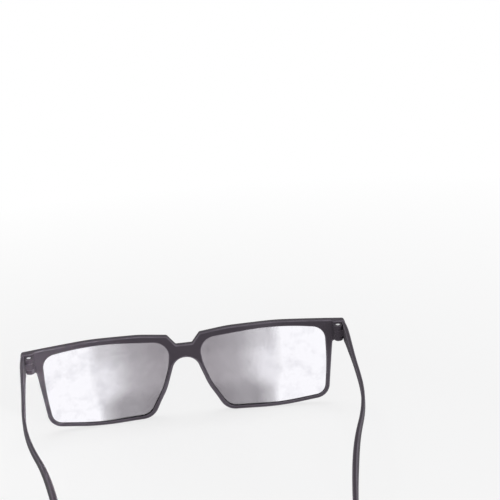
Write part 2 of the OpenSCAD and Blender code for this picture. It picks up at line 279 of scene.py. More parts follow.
def edge_normals(p, q):
    """Outward normals of an anticlockwise outline's edges from p to q: each turned a quarter clockwise."""
    d = unit(q[..., :2] - p[..., :2])
    return np.stack([d[..., 1], -d[..., 0]], -1)


def bowed(p, q, share, bow, radius):
    """Corner at a share of the chord from p to q, moved outwards by the bow."""
    return np.array([*(p[:2] * (1 - share) + q[:2] * share + edge_normals(p, q) * bow), radius])


def grown(corners, widths):
    """Corners of the outline whose edge after corner i has moved out by widths[i].
    Each lies where the moved edges cross, and its radius grows by the smaller move."""
    before = edge_normals(np.roll(corners, 1, 0), corners)
    after = edge_normals(corners, np.roll(corners, -1, 0))
    w_before, w_after = np.roll(widths, 1)[:, None], widths[:, None]
    k = (before * after).sum(1, keepdims=True)
    shift = (before * (w_before - k * w_after) + after * (w_after - k * w_before)) / (1 - k * k)
    return np.c_[corners[:, :2] + shift, corners[:, 2:] + np.minimum(w_before, w_after)]


def corner_arc(a, p, b, spacing):
    """Arc of corner p's radius that touches both its edges, and its outward normals.
    Its centre is on the bisector, at radius / sin(half angle) from the corner."""
    radius = p[2]
    u, v = unit(a[:2] - p[:2]), unit(b[:2] - p[:2])
    half = np.arccos(u @ v) / 2
    centre = p[:2] + unit(u + v) * radius / np.sin(half)
    start = p[:2] + u * radius / np.tan(half) - centre
    end = p[:2] + v * radius / np.tan(half) - centre
    first = np.arctan2(start[1], start[0])
    turn = (np.arctan2(end[1], end[0]) - first + np.pi) % (2 * np.pi) - np.pi
    steps = int(max(ARC_STEPS, np.ceil(abs(turn) * radius / spacing)))
    angle = first + turn * np.linspace(0, 1, steps + 1)
    out = np.stack([np.cos(angle), np.sin(angle)], -1)
    return centre + radius * out, out * np.sign(turn)


def straight(p, q, spacing):
    """Evenly spaced points between p and q, without the ends, and the edge's normal at each."""
    steps = int(max(1, np.ceil(np.linalg.norm(q - p) / spacing)))
    share = np.linspace(0, 1, steps + 1)[1:-1, None]
    return p + (q - p) * share, np.repeat(edge_normals(p, q)[None], len(share), 0)


def traced(corners, spacing, closed=True, fine_from=np.inf):
    """Points and outward normals along an anticlockwise outline of straights and corner arcs.
    An open outline starts and ends at its first and last corners.
    Beyond x = fine_from the points are FINE_GAP apart."""
    n = len(corners)
    stretches = []
    for i in range(n):
        gap = FINE_GAP if corners[i][0] > fine_from else spacing
        if closed or 0 < i < n - 1:
            stretches.append(corner_arc(corners[i - 1], corners[i], corners[(i + 1) % n], gap))
        else:
            j = min(i, n - 2)
            stretches.append((corners[i][None, :2], edge_normals(corners[j], corners[j + 1])[None]))
    points, normals = [], []
    for i in range(n):
        points.append(stretches[i][0])
        normals.append(stretches[i][1])
        if closed or i < n - 1:
            p, q = stretches[i][0][-1], stretches[(i + 1) % n][0][0]
            gap = FINE_GAP if max(p[0], q[0]) > fine_from else spacing
            between = straight(p, q, gap)
            points.append(between[0])
            normals.append(between[1])
    return np.concatenate(points), np.concatenate(normals)


def lengths(points, closed=False):
    """Distance of each point from the first, along the line through them."""
    ring = np.r_[points, points[:1]] if closed else points
    return np.r_[0, np.cumsum(np.linalg.norm(np.diff(ring, axis=0), axis=1))]


def resampled(points, count):
    """The same line through evenly spaced points."""
    s = lengths(points)
    t = np.linspace(0, s[-1], count)
    return np.stack([np.interp(t, s, points[:, k]) for k in range(points.shape[1])], -1)


def nearest(points, place):
    return int(np.argmin(np.linalg.norm(points - np.asarray(place)[:2], axis=1)))


# Corners of the right lens opening, anticlockwise as seen from behind: x, z and radius
side_x = NOSE_X + LENS_W
nose_top = np.array([NOSE_X, LENS_LOW + LENS_H_NOSE, NOSE_TOP_R])
nose_low = np.array([NOSE_X + NOSE_LEAN, LENS_LOW, NOSE_LOW_R])
side_low = np.array([side_x - SIDE_LEAN, LENS_LOW + LENS_RISE, SIDE_LOW_R])
side_top = np.array([side_x, LENS_LOW + LENS_RISE + LENS_H_SIDE, SIDE_TOP_R])
lens_corners = np.array([
    nose_top,
    bowed(nose_top, nose_low, *NOSE_BOW_HIGH),
    bowed(nose_top, nose_low, *NOSE_BOW_LOW),
    nose_low,
    bowed(nose_low, side_low, *LOW_BOW),
    side_low,
    bowed(side_low, side_top, *SIDE_BOW),
    side_top,
    bowed(side_top, nose_top, *TOP_BOW),
])
rim = grown(lens_corners, np.array([RIM_NASAL] * 3 + [RIM_BOTTOM] * 2 + [RIM_SIDE] * 2 + [RIM_TOP] * 2))

# Corners of the right half of the front's outline, from under the bridge round to the bridge's top
brow_peak = rim[8]
shoulder = np.array([NOSE_X + SHOULDER_OUT, brow_peak[1] - BROW_FALL_NOSE, SHOULDER_R])
brow_end = np.array([HALF_W, brow_peak[1] - BROW_FALL_SIDE, CRISP_R])
bridge_top = shoulder[1] - NOTCH_D
arch_z = bridge_top - BRIDGE_H
arch_x = rim[1][0] + (arch_z - rim[1][1]) * (rim[2][0] - rim[1][0]) / (rim[2][1] - rim[1][1])
half_outline = np.array([
    [0, arch_z, 0],
    [arch_x, arch_z, ARCH_R],
    *rim[2:6],
    [*rim[6][:2], SIDE_SOFT_R],
    [rim[7][0] + ARMPIT_OUT, brow_end[1] - ENDPIECE_H - ARMPIT_DROP, ARMPIT_R],
    [HALF_W, brow_end[1] - ENDPIECE_H, CRISP_R],
    brow_end,
    [*brow_peak[:2], PEAK_SOFT_R],
    bowed(brow_peak, shoulder, *BROW_BOW),
    shoulder,
    [NOTCH_W / 2, bridge_top, CRISP_R],
    [0, bridge_top, 0],
])

# The front stands on the floor
floor_z = traced(half_outline, LOWEST_GAP, closed=False)[0][:, 1].min()
lens_corners[:, 1] -= floor_z
half_outline[:, 1] -= floor_z


def wrap_y(x, off=0):
    """Face wrap: a cylinder about a vertical axis WRAP_R behind the front, its radius changed by off."""
    return np.sqrt((WRAP_R + off) ** 2 - x ** 2) - WRAP_R + MID_Y


def front_y(x, drop):
    """Front face: the wrap moved back by drop, and cut down to a quarter round in plan at the ends."""
    centre_x = HALF_W - END_ROUND
    centre_y = wrap_y(centre_x, FRONT_T / 2 - END_ROUND)
    past = np.abs(x) - centre_x
    quarter = centre_y + np.sqrt(np.maximum(END_ROUND ** 2 - past ** 2, 0))
    starts = END_ROUND * centre_x / WRAP_R
    wrap = wrap_y(x, FRONT_T / 2 - drop)
    return np.where(past > starts, np.minimum(quarter, wrap), wrap)


def back_y(x, rise):
    """Back face: the wrap behind the rims, stepping smoothly back to the flat side pieces.
    It is moved forward by rise."""
    share = smooth((np.abs(x) - STEP_IN) / (STEP_OUT - STEP_IN))
    return wrap_y(x, -FRONT_T / 2) * (1 - share) + BLOCK_Y * share + rise


def grid_faces(rows, columns, wrap_rows=False, wrap_columns=False):
    """Quads between neighbouring points of a grid that is numbered row by row."""
    r = np.arange(rows if wrap_rows else rows - 1)[:, None]
    c = np.arange(columns if wrap_columns else columns - 1)[None, :]
    r2, c2 = (r + 1) % rows, (c + 1) % columns
    return np.stack([r * columns + c, r * columns + c2, r2 * columns + c2, r2 * columns + c], -1)


def shell(points, faces, rub=None, coat=None):
    """A surface: points in millimetres, quads, how pale it is painted at each point for wear and a painted
    highlight, and how coated it is there.
    """
    flat = points.reshape(-1, 3)
    return {
        "points": flat,
        "faces": faces.reshape(-1, 4),
        "rub": np.zeros(len(flat)) if rub is None else np.broadcast_to(rub, points.shape[:-1]).ravel(),
        "coat": np.ones(len(flat)) if coat is None else coat.ravel(),
    }


def mirrored(part):
    """The shell seen in the plane X = 0, with its faces turned round so that they still point outwards."""
    return {**part, "points": part["points"] * [-1, 1, 1], "faces": part["faces"][:, ::-1]}


def within(part, node):
    """The shell kept inside the node's box, which its true arcs would pass by some hundredths of a mm."""
    return {**part, "points": np.clip(part["points"], *box_mm(node))}


def make_piece(name, shells, body, material, replaces):
    """One mesh object from several shells. Doubles are merged first, then normals are turned outwards."""
    offsets = np.cumsum([0] + [len(s["points"]) for s in shells])
    points = np.concatenate([s["points"] for s in shells]) * MM
    faces = np.concatenate([s["faces"] + o for s, o in zip(shells, offsets)])
    mesh = bpy.data.meshes.new(name)
    mesh.from_pydata(points.tolist(), [], faces.tolist())
    for key in ("rub", "coat"):
        layer = mesh.attributes.new(key, "FLOAT", "POINT")
        layer.data.foreach_set("value", np.concatenate([s[key] for s in shells]).astype(np.float32))
    work = bmesh.new()
    work.from_mesh(mesh)
    bmesh.ops.remove_doubles(work, verts=work.verts, dist=MERGE_GAP * MM)
    bmesh.ops.delete(work, geom=[v for v in work.verts if not v.link_faces], context="VERTS")
    bmesh.ops.recalc_face_normals(work, faces=work.faces)
    work.to_mesh(mesh)
    work.free()
    mesh.polygons.foreach_set("use_smooth", np.ones(len(mesh.polygons), bool))
    mesh.set_sharp_from_angle(angle=math.radians(SHARP_ANGLE))
    piece = bpy.data.objects.new(name, mesh)
    bpy.context.scene.collection.objects.link(piece)
    mesh.materials.append(material)
    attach(piece, body)
    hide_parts(replaces)


def outline_and_cut():
    """The outline's points and outward normals, closed by the cut through the bridge.
    The last value is the number of points before the cut, whose own normals are nought."""
    outer, outer_n = traced(half_outline, OUTLINE_GAP, closed=False, fine_from=FINE_FROM)
    cut_z = np.linspace(outer[-1, 1] - BACK_EDGE_R - HOLD, outer[0, 1] + SPLAY_W + HOLD, CUT_POINTS + 2)[1:-1]
    cut = np.stack([np.zeros_like(cut_z), cut_z], -1)
    return np.r_[outer, cut], np.r_[outer_n, np.zeros_like(cut)], len(outer)


def faced_places(outer):
    """The point of the lens opening that each point of the outline faces, and its outward normal.
    The outline's corners face set places, and the points between them are spread out evenly."""
    lens, lens_n = traced(lens_corners, OPENING_GAP)
    lens_s = lengths(lens, closed=True)
    lens_s, perimeter = lens_s[:-1], lens_s[-1]
    corners = lens_corners[:, :2]
    before = FACED.astype(int)
    share = (FACED - before)[:, None]
    places = corners[before] * (1 - share) + corners[(before + 1) % len(corners)] * share
    outer_s = lengths(outer, closed=True)
    key_outer = [outer_s[nearest(outer, corner)] for corner in half_outline] + [outer_s[-1]]
    key_lens = np.array([lens_s[nearest(lens, place)] for place in places])
    key_lens = np.r_[(key_lens - key_lens[0]) % perimeter, perimeter] + key_lens[0]
    s = np.interp(outer_s[:-1], key_outer, key_lens)
    inner, inner_n = (
        np.stack([np.interp(s, lens_s, line[:, k], period=perimeter) for k in (0, 1)], -1)
        for line in (lens, lens_n)
    )
    return inner, unit(inner_n)


def row_shares(outer_x, back_x, inner_x, span):
    """Shares of the way across each face at which the rows lie: those of the front face and those behind.
    They are even, but crowd to the edge on the side pieces' front, and on the step behind."""
    even = np.linspace(0, 1, SPAN_ROWS + 2)[1:-1, None] * np.ones(len(span))
    wide_end = (span > END_SPAN) & (outer_x > END_X)
    front_share = np.where(wide_end, 1 - END_ROWS[:, None] / span, even)
    step_x = np.minimum(
        np.linspace(STEP_IN, STEP_OUT, SPAN_ROWS)[:, None],
        back_x + np.arange(-SPAN_ROWS, 0)[:, None] * ROW_GAP,
    )
    by_step = (step_x - inner_x) / np.maximum(back_x - inner_x, LEAST_SPAN)
    back_share = even + (by_step - even) * smooth((back_x - STEP_IN) / STEP_RUN + 1)
    return front_share, back_share


def front_half():
    """Right half of the front: a profile carried round the lens opening and stretched across to the outline.
    Row by row it runs out of the groove, over the front face, round the rim's edge and back behind."""
    outer, outer_n, edge_columns = outline_and_cut()
    inner, inner_n = faced_places(outer)
    columns = len(outer)
    by_nose = smooth((outer[:, 1] - SPLAY_LOW_Z) / SPLAY_LOW_RUN)
    by_nose *= smooth((SPLAY_HIGH_Z - outer[:, 1]) / SPLAY_HIGH_RUN)
    by_nose *= outer[:, 0] < NOSE_X + NOSE_LEAN + RIM_NASAL
    back_w = BACK_EDGE_R + (SPLAY_W - BACK_EDGE_R) * by_nose
    back_d = BACK_EDGE_R + (SPLAY_D - BACK_EDGE_R) * by_nose

    inner_hold = inner + inner_n * (LENS_EDGE_R + HOLD)
    face_hold = outer - outer_n * (FACE_EDGE_R + HOLD)
    back_hold = outer - outer_n * (back_w + HOLD)[:, None]
    span = np.linalg.norm(back_hold - inner_hold, axis=1)
    # Thin rims are painted paler: partly wear from handling, partly a painted highlight
    thin = THIN_WEAR_AND_SHEEN * smooth((THIN_W - span) / THIN_RUN)
    front_share, back_share = row_shares(outer[:, 0], back_hold[:, 0], inner_hold[:, 0], span)

    rows, wear_and_sheen_rows = [], []

    def row(xz, y, drop, rub=0.0):
        rows.append(np.stack([xz[:, 0], y(xz[:, 0], drop), xz[:, 1]], -1))
        wear_and_sheen_rows.append(np.broadcast_to(rub, columns))

    # Rounded edges are painted paler at their middle: partly wear, partly a painted highlight
    def rounded(edge, inwards, width, depth, y, turns, rub):
        for q in turns:
            away = np.reshape(width * (1 - np.cos(q)), (-1, 1))
            row(edge + inwards * away, y, depth * (1 - np.sin(q)), rub + (1 - rub) * np.sin(2 * q))

    def between(hold, shares, y, rub):
        for share in shares:
            row(inner_hold + (hold - inner_hold) * share[:, None], y, 0, rub)

    half_groove = LENS_T / 2 + LENS_GAP
    row(inner + inner_n * GROOVE_D, wrap_y, -half_groove)
    row(inner + inner_n * GROOVE_D, wrap_y, half_groove)
    row(inner, wrap_y, half_groove)
    rounded(inner, inner_n, LENS_EDGE_R, LENS_EDGE_R, front_y, QUARTER, 0)
    row(inner_hold, front_y, 0)
    between(face_hold, front_share, front_y, 0)
    row(face_hold, front_y, 0)
    first_edge = len(rows) - 1
    rounded(outer, -outer_n, FACE_EDGE_R, FACE_EDGE_R, front_y, QUARTER[::-1], 0)
    # The nose splay is painted paler still: partly wear, partly a painted highlight
    rounded(outer, -outer_n, back_w, back_d, back_y, QUARTER, np.maximum(thin, by_nose * NOSE_WEAR_AND_SHEEN))
    row(back_hold, back_y, 0, thin)
    last_edge = len(rows) - 1
    between(back_hold, back_share[::-1], back_y, thin)
    row(inner_hold, back_y, 0, thin)
    rounded(inner, inner_n, LENS_EDGE_R, LENS_EDGE_R, back_y, QUARTER[::-1], thin)
    row(inner, wrap_y, -half_groove)

    faces = grid_faces(len(rows), columns, wrap_rows=True, wrap_columns=True)
    keep = np.ones(faces.shape[:2], bool)
    keep[first_edge:last_edge, edge_columns - 1:] = False
    return shell(np.array(rows), faces[keep], np.array(wear_and_sheen_rows))


def hinge_plate(low_z, high_z, reach, root, head_hole=0):
    """Hinge plate with one round end about the hinge axis, and straight sides that reach towards its root.
    A ring between the bore and the outline, its profile taken up the bore, over the top and down outside.
    The bore widens for the screw's head over the depth head_hole."""
    end = np.linspace(np.pi / 2, 3 * np.pi / 2, PLATE_ROUND)
    side = np.linspace(0, reach, PLATE_SIDE)
    edge = np.full(len(side) - 1, KNUCKLE_R)
    butt = np.linspace(-KNUCKLE_R, KNUCKLE_R, PLATE_BUTT)[1:-1]
    along = np.r_[KNUCKLE_R * np.cos(end), side[1:], np.full(len(butt), reach), side[:0:-1]]
    over = np.r_[KNUCKLE_R * np.sin(end), -edge, butt, edge]
    outline = np.stack([along, over], -1)
    out = unit(np.roll(outline, -1, 0) - np.roll(outline, 1, 0))[:, ::-1] * [1, -1]
    bore = unit(outline) * BORE_R
    e = PLATE_EDGE_R
    rows = [(bore, low_z), (bore, high_z - head_hole)]
    if head_hole:
        rows += [(unit(outline) * HEAD_HOLE_R, z) for z in (high_z - head_hole, high_z)]
    rows += [(outline - out * e * (1 - np.cos(q)), high_z - e * (1 - np.sin(q))) for q in QUARTER[::-1]]
    rows += [(outline - out * e * (1 - np.cos(q)), low_z + e * (1 - np.sin(q))) for q in QUARTER]
    across = np.array([-root[1], root[0]])
    points = np.array([
        np.c_[
            HINGE_X + uv @ [root[0], across[0]],
            HINGE_Y + uv @ [root[1], across[1]],
            np.full(len(uv), z),
        ]
        for uv, z in rows
    ])
    # The plate's rounded edges are painted paler at their middle: partly wear, partly a painted highlight
    worn_and_sheen = np.sin(2 * QUARTER)
    rub = np.r_[np.zeros(len(rows) - 2 * len(worn_and_sheen)), worn_and_sheen, worn_and_sheen][:, None]
    return shell(points, grid_faces(len(rows), len(outline), True, True), rub)


def heading(s):
    """Angle by which the temple has turned in at the distance s behind the hinge."""
    return (
        TOE_IN * smooth(s / SEAT_L)
        + WRAP_IN * smooth((s - TURN_START) / (TURN_END - TURN_START))
        - TIP_OUT * smooth((s - TURN_END) / (TEMPLE_L - TURN_END))
    )


def dip(s, tilt):
    """Angle by which the temple points down: its tilt behind the hinge, and the ear bend."""
    return tilt * smooth(s / SEAT_L) + EAR_ANGLE * smooth((s - EAR_START) / EAR_RUN)


def direction(s, tilt):
    h, d = np.radians(heading(s)), np.radians(dip(s, tilt))
    return np.stack([-np.sin(h) * np.cos(d), -np.cos(h) * np.cos(d), -np.sin(d)], -1)


def temple_path(s, tilt):
    """Middle line of the right temple: its direction added up from the butt by the trapezium rule."""
    d = direction(s, tilt)
    steps = (d[1:] + d[:-1]) / 2 * np.diff(s)[:, None]
    start = np.array([HALF_W - THICKNESSES[0] / 2, HINGE_Y + BUTT_L, HINGE_Z])
    return start + np.r_[np.zeros((1, 3)), np.cumsum(steps, 0)]


def tip_share(s):
    """Share of its full size that the temple keeps: an ellipse's quarter over the last stretch."""
    return np.sqrt(np.clip(1 - np.clip((s - TEMPLE_L + TIP_L) / TIP_L, 0, 1) ** 2, 0, 1))


def tapered(s, sizes):
    """Height or thickness of the temple: from the hinge down to the slim middle, and up to the tip."""
    hinge, middle, tip = sizes
    slimmed = hinge + (middle - hinge) * smooth(s / TAPER_L)
    return slimmed + (tip - middle) * smooth((s - EAR_START) / EAR_RUN)


def seated_tilt(s):
    """Tilt at which the tips come down to the floor, found by halving the range."""
    low, high = TILT_RANGE
    for _ in range(TILT_HALVINGS):
        tilt = (low + high) / 2
        reach = tapered(s, HEIGHTS) * tip_share(s) / 2 * np.cos(np.radians(dip(s, tilt)))
        if (temple_path(s, tilt)[:, 2] - reach).min() > 0:
            low = tilt
        else:
            high = tilt
    return (low + high) / 2


def section_places():
    """Distances behind the hinge at which the temple has a section: closest together at both its ends."""
    butt = -BUTT_L + BUTT_EDGE_R * (1 - np.cos(QUARTER))
    fine = np.linspace(butt[-1], FINE_L, FINE_SECTIONS)
    rest = np.linspace(FINE_L, TEMPLE_L - TIP_L, LONG_SECTIONS)
    tip = TEMPLE_L - TIP_L + TIP_L * np.sin(np.linspace(0, np.pi / 2, TIP_SECTIONS))
    return np.unique(np.r_[butt, fine, rest, tip])


def section_rings(t, h):
    """Rounded rectangles of the half thicknesses t and half heights h, and how pale their points are painted
    for wear and a painted highlight.
    The corner radius is a share of the thickness."""
    r = CORNER_SHARE * 2 * t
    quarters = []
    for corner in range(4):
        a = np.pi / 2 * corner + QUARTER
        sign_t = 1 if corner in (0, 3) else -1
        sign_h = 1 if corner < 2 else -1
        across = sign_t * (t - r)[:, None] + r[:, None] * np.cos(a)
        over = sign_h * (h - r)[:, None] + r[:, None] * np.sin(a)
        quarters.append(np.stack([across, over], -1))
    ring, rub = [], []
    for corner in range(4):
        this, after = quarters[corner], quarters[(corner + 1) % 4]
        ring.append(this)
        rub += list(np.sin(2 * QUARTER))
        for share in FLAT_SHARES:
            ring.append(this[:, -1:] * (1 - share) + after[:, :1] * share)
            rub.append(0.0)
    return np.concatenate(ring, 1), np.array(rub)


def temple_arm():
    """Right temple: a rounded rectangle carried along its middle line, closed to a point at both ends.
    Beside the hinge its inner side is cut flat."""
    s = section_places()
    tilt = seated_tilt(s)
    centre = temple_path(s, tilt)
    from_butt = np.clip(BUTT_EDGE_R - (s + BUTT_L), 0, BUTT_EDGE_R)
    inset = BUTT_EDGE_R - np.sqrt(BUTT_EDGE_R ** 2 - from_butt ** 2)
    t = tapered(s, THICKNESSES) / 2 * tip_share(s) - inset
    h = tapered(s, HEIGHTS) / 2 * tip_share(s) - inset
    ring, rub = section_rings(t, h)
    relief = RELIEF_D * (1 - smooth((s - RELIEF_L + RELIEF_RUN / 2) / RELIEF_RUN))
    cut = -tapered(s, THICKNESSES) / 2 + relief
    across = np.maximum(ring[..., 0], cut[:, None])
    h_angle = np.radians(heading(s))
    side = np.stack([np.cos(h_angle), -np.sin(h_angle), np.zeros_like(s)], -1)
    up = np.cross(direction(s, tilt), side)
    points = centre[:, None] + side[:, None] * across[..., None] + up[:, None] * ring[..., 1:]
    butt_centre = np.broadcast_to(centre[0] + side[0] * RELIEF_D / 2, points[:1].shape)
    points = np.concatenate([butt_centre, points])
    return shell(points, grid_faces(len(points), points.shape[1], wrap_columns=True), rub)


def patch(left, bottom, right, top):
    """Surface between four lines: the blends of opposite lines are added, and that of the corners taken away.
    Left and right run upwards, bottom and top run to the right, and the lines share their ends."""
    q = np.linspace(0, 1, len(left))[:, None, None]
    p = np.linspace(0, 1, len(bottom))[None, :, None]
    sides = left[:, None] * (1 - p) + right[:, None] * p
    ends = bottom[None] * (1 - q) + top[None] * q
    corners = (
        (left[0] * (1 - p) + right[0] * p) * (1 - q)
        + (left[-1] * (1 - p) + right[-1] * p) * q
    )
    return sides + ends - corners


def sheet(xz, off_front, off_back, coat=None):
    """Closed thin sheet over a patch of places, both its faces on the wrap, and a wall all round."""
    rows, columns = xz.shape[:2]
    front = np.stack([xz[..., 0], wrap_y(xz[..., 0], off_front), xz[..., 1]], -1)
    back = np.stack([xz[..., 0], wrap_y(xz[..., 0], off_back), xz[..., 1]], -1)
    number = np.arange(rows * columns).reshape(rows, columns)
    border = np.r_[number[0, :-1], number[:-1, -1], number[-1, :0:-1], number[:0:-1, 0]]
    after = np.roll(border, -1)
    shift = rows * columns
    wall = np.stack([border, border + shift, after + shift, after], -1)
    quads = grid_faces(rows, columns).reshape(-1, 4)
    faces = np.r_[quads[:, ::-1], quads + shift, wall]
    both = None if coat is None else np.concatenate([coat.ravel(), coat.ravel()])
    return shell(np.concatenate([front.reshape(-1, 3), back.reshape(-1, 3)]), faces, coat=both)


def four_sides(corners):
    """The opening's left, bottom, right and top lines, parted at its four main corners."""
    line, _ = traced(corners, OPENING_GAP)
    at = [nearest(line, corners[k]) for k in MAIN_CORNERS]
    left, bottom, right, top = (
        line[np.arange(a, a + (b - a) % len(line) + 1) % len(line)]
        for a, b in zip(at, at[1:] + at[:1])
    )
    return left[::-1], bottom, right, top[::-1]


def opening_patch(outset, up, across):
    """Patch over the lens opening moved out by the outset, with so many points up its sides and across."""
    left, bottom, right, top = four_sides(grown(lens_corners, np.full(len(lens_corners), outset)))
    return patch(resampled(left, up), resampled(bottom, across), resampled(right, up), resampled(top, across))


def lens_sheet():
    return sheet(opening_patch(GROOVE_D - LENS_GAP, *LENS_GRID), LENS_T / 2, -LENS_T / 2)


def coat_strength(x, z):
    """Three smooth steps over each other: the haze, the veil and the dense coat.
    The veil begins further out low down and stays thinner high up. The dense coat's edge is crisp low down
    and softer above. What passes all three is the product of what passes each, and its square root passes
    each of the sheet's two faces."""
    haze = HAZE_DEPTH * smooth((x - HAZE_X) / HAZE_L)
    depth = VEIL_DEPTH + (VEIL_TOP_DEPTH - VEIL_DEPTH) * smooth((z - VEIL_TOP_Z) / VEIL_TOP_RUN)
    shift = VEIL_LOW_SHIFT * smooth((VEIL_LOW_Z - z) / VEIL_LOW_RUN)
    veil = depth * smooth((x - VEIL_X - shift) / VEIL_L)
    softer = DENSE_SOFTER * smooth((z - DENSE_SOFT_Z) / DENSE_SOFT_RUN)
    dense = smooth((x - DENSE_X) / (DENSE_L + softer))
    return 1 - np.sqrt((1 - haze) * (1 - veil) * (1 - dense))


def mirror_coat():
    """The coat as a sheet just off the lens and inside the rim, with its strength at each point."""
    xz = opening_patch(-COAT_INSET, *COAT_GRID)
    off = -LENS_T / 2 - COAT_AIR
    return sheet(xz, off, off - COAT_T + COAT_AIR, coat_strength(xz[..., 0], xz[..., 1]))


# Colours as sRGB: the plastic where it is deep and pale, and where its edges are painted pale for wear and a
# painted highlight, the coat where it is wiped and clean, the plating where it is dull and bright, the
# painted shade round the screw's head and the paper
PLASTIC_DEEP = "#38333a"
PLASTIC_PALE = "#453f46"
PLASTIC_WORN_AND_SHEEN = "#8c8590"
COAT_WIPED = "#ebeaf0"
COAT_CLEAN = "#fbfaff"
PLATING_DULL = "#e9e9eb"
PLATING_BRIGHT = "#fbfbfc"
HEAD_SHADE_COLOUR = "#3a363b"
PAPER_COLOUR = "#f3f3f4"
# Colour of the smoked sheet at heights over the floor: deepest low down, palest in the middle
TINT_BY_HEIGHT = ((7, "#7d787e"), (16.5, "#9a959b"), (24, "#9a959b"), (32, "#8f8a90"))

# Sizes of the patterns: the plastic's flow, grain and handling, the lens's ripple and dye, the coat's wiping,
# the plating's unevenness and the patches of the painted shade round the screw's head
FLOW_SIZE = 22
GRAIN_SIZE = 0.3
HANDLING_SIZE = 5
RIPPLE_SIZE = 14
DYE_SIZE = 3
WIPING_SIZE = 8
PLATING_SIZE = 0.25
PATCH_SIZE = 0.5


def colour(code):
    """An sRGB hex code as linear red, green, blue and alpha."""
    srgb = np.array([int(code[i:i + 2], 16) for i in (1, 3, 5)]) / 255
    linear = np.where(srgb > 0.04045, ((srgb + 0.055) / 1.055) ** 2.4, srgb / 12.92)
    return (*linear.tolist(), 1.0)


def add(tree, kind, inputs=None, **settings):
    """Adds a shader node, with its settings and with the values or links of its inputs."""
    made = tree.nodes.new("ShaderNode" + kind)
    for key, value in settings.items():
        setattr(made, key, value)
    for key, value in (inputs or {}).items():
        if isinstance(value, bpy.types.NodeSocket):
            tree.links.new(value, made.inputs[key])
        else:
            made.inputs[key].default_value = value
    return made


def new_material(name):
    material = bpy.data.materials.new(name)
    material.use_nodes = True
    material.node_tree.nodes.clear()
    return material, material.node_tree


def moulded_abs():
    """ABS, injection moulded in a satin-finished mould: an even black-brown with a broad, soft gloss.
    The mould's grain is drawn at 0.3 mm, coarser than the real one, so that it shows."""
    material, tree = new_material("moulded_abs")
    place = add(tree, "TexCoord").outputs["Object"]
    flow = add(tree, "TexNoise", {"Vector": place, "Scale": 1 / (FLOW_SIZE * MM), "Detail": 3})
    grain = add(tree, "TexNoise", {"Vector": place, "Scale": 1 / (GRAIN_SIZE * MM), "Detail": 2})
    handled = add(tree, "TexNoise", {"Vector": place, "Scale": 1 / (HANDLING_SIZE * MM), "Detail": 5,
                                     "Roughness": 0.65})
    tone = add(tree, "Mix", {0: flow.outputs["Fac"], 6: colour(PLASTIC_DEEP), 7: colour(PLASTIC_PALE)},
               data_type="RGBA")
    # Edges, thin rims and the nose splay are painted paler in patches: partly wear from handling, partly a
    # painted highlight
    rub = add(tree, "Attribute", attribute_name="rub").outputs["Fac"]
    worn_and_sheen = add(tree, "Math", {0: rub, 1: handled.outputs["Fac"]}, operation="MULTIPLY")
    share = add(tree, "Math", {0: worn_and_sheen.outputs[0], 1: WEAR_AND_SHEEN_DEPTH}, operation="MULTIPLY")
    base = add(tree, "Mix", {0: share.outputs[0], 6: tone.outputs[2], 7: colour(PLASTIC_WORN_AND_SHEEN)},
               data_type="RGBA")
    gloss = add(tree, "MapRange", {"Value": handled.outputs["Fac"], "From Min": 0.3, "From Max": 0.7,
                                   "To Min": 0.62, "To Max": 0.74})
    waves = add(tree, "Bump", {"Height": flow.outputs["Fac"], "Strength": 0.15, "Distance": 0.4 * MM})
    bump = add(tree, "Bump", {"Height": grain.outputs["Fac"], "Strength": 0.25, "Distance": 0.02 * MM,
                              "Normal": waves.outputs[0]})
    shader = add(tree, "BsdfPrincipled", {
        "Base Color": base.outputs[2], "Roughness": gloss.outputs[0], "IOR": 1.53, "Specular IOR Level": 0.2,
        "Normal": bump.outputs[0],
    })
    add(tree, "OutputMaterial", {"Surface": shader.outputs[0]})
    return material


def smoked_sheet():
    """Acrylic sheet, dip-dyed a graded smoke: see-through grey, deepest low down, with a sharp gloss.
    The dye is faintly cloudy, in patches of about 3 mm."""
    material, tree = new_material("smoked_acrylic")
    place = add(tree, "TexCoord").outputs["Object"]
    ripple = add(tree, "TexNoise", {"Vector": place, "Scale": 1 / (RIPPLE_SIZE * MM), "Detail": 2})
    cloud = add(tree, "TexNoise", {"Vector": place, "Scale": 1 / (DYE_SIZE * MM), "Detail": 3})
    height = add(tree, "SeparateXYZ", {0: place}).outputs["Z"]
    low, high = TINT_BY_HEIGHT[0][0], TINT_BY_HEIGHT[-1][0]
    level = add(tree, "MapRange", {"Value": height, "From Min": low * MM, "From Max": high * MM})
    dye = add(tree, "ValToRGB", {"Fac": level.outputs[0]})
    dye.color_ramp.interpolation = "EASE"
    for _ in TINT_BY_HEIGHT[2:]:
        dye.color_ramp.elements.new(0.5)
    for element, (z, code) in zip(dye.color_ramp.elements, TINT_BY_HEIGHT):
        element.position = (z - low) / (high - low)
        element.color = colour(code)
    spread = add(tree, "MapRange", {"Value": cloud.outputs["Fac"], "From Min": 0.3, "From Max": 0.7,
                                    "To Min": 0.93, "To Max": 1.07})
    tint = add(tree, "VectorMath", {0: dye.outputs["Color"], "Scale": spread.outputs[0]}, operation="SCALE")
    bump = add(tree, "Bump", {"Height": ripple.outputs["Fac"], "Strength": 0.05, "Distance": 0.3 * MM})
    shader = add(tree, "BsdfPrincipled", {
        "Base Color": tint.outputs[0], "Roughness": 0.02, "IOR": 1.49,
        "Transmission Weight": 1.0, "Normal": bump.outputs[0],
    })
    add(tree, "OutputMaterial", {"Surface": shader.outputs[0]})
    return material


